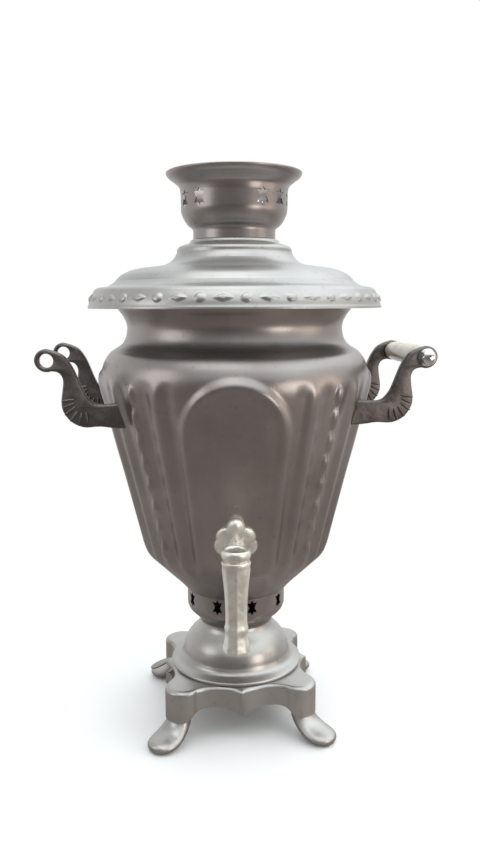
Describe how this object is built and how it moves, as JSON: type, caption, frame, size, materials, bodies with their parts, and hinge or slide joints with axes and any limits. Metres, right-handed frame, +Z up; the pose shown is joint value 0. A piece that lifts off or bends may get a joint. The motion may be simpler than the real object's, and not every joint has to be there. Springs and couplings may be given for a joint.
{
  "type": "charcoal samovar",
  "caption": "Charcoal samovar: embossed water vessel on a pedestal with cast feet, lid, teapot crown, plug tap and side handles.",
  "frame": {"origin": "on the pedestal's vertical axis, at the level of the feet's soles", "axes": "+Z up along the axis of the vessel and fire tube, -Y to the front where the tap is, +X to the side of the handle that still has its grip"},
  "size_m": [0.3396, 0.2806, 0.5],
  "materials": {
    "nickel": "aged satin nickel plate on sheet brass",
    "nickel_light": "aged satin nickel plate, lighter",
    "foot_nickel": "cast, worn nickel plate",
    "tap_nickel": "cast, worn nickel plate with a yellow cast",
    "bracket_bronze": "dull darkened plate on cast brass",
    "tube_brass": "tinned and scaled sheet brass",
    "brass": "plain turned brass",
    "cast_iron": "sooty cast iron",
    "pan_steel": "dull sheet steel",
    "rod_steel": "drawn steel",
    "polished_chrome": "polished chrome",
    "ivory_plastic": "glossy ivory-coloured plastic",
    "fibre": "red fibre washer"
  },
  "bodies": {
    "root": {"body_shell": "nickel", "fire_tube": "tube_brass", "grate": "cast_iron", "vent_ring": "nickel", "base_dome": "nickel_light", "base_plate": "nickel_light", "foot_front_left": "foot_nickel", "foot_front_right": "foot_nickel", "foot_back_left": "foot_nickel", "foot_back_right": "foot_nickel", "ash_pan_runners": "pan_steel", "tap_body": "tap_nickel", "tap_escutcheon": "tap_nickel", "tap_gasket": "fibre", "tap_lock_nut": "brass", "bracket_front_left": "bracket_bronze", "bracket_back_left": "bracket_bronze", "bracket_front_right": "bracket_bronze", "bracket_back_right": "bracket_bronze", "bracket_washers": "brass", "bracket_nuts": "brass", "right_grip": "ivory_plastic", "right_grip_rod": "rod_steel", "right_cap_nut_front": "polished_chrome", "right_cap_nut_back": "polished_chrome"},
    "lid_body": {"lid": "nickel_light", "lid_ring": "nickel_light"},
    "crown_body": {"crown": "nickel"},
    "plug_body": {"tap_plug": "tap_nickel"},
    "pan_body": {"ash_pan": "pan_steel"}
  },
  "joints": [
    {"name": "lid_lift", "type": "slide", "parent": "root", "child": "lid_body", "axis": [0, 0, 1], "range_m": [0, 0.08]},
    {"name": "crown_lift", "type": "slide", "parent": "lid_body", "child": "crown_body", "axis": [0, 0, 1], "range_m": [0, 0.06]},
    {"name": "tap_turn", "type": "hinge", "parent": "root", "child": "plug_body", "pos_m": [-0.01086, -0.13797, 0.18], "axis": [0, 0, 1], "continuous": true},
    {"name": "ash_pan_slide", "type": "slide", "parent": "root", "child": "pan_body", "axis": [-1, 0, 0], "range_m": [0, 0.06]}
  ]
}
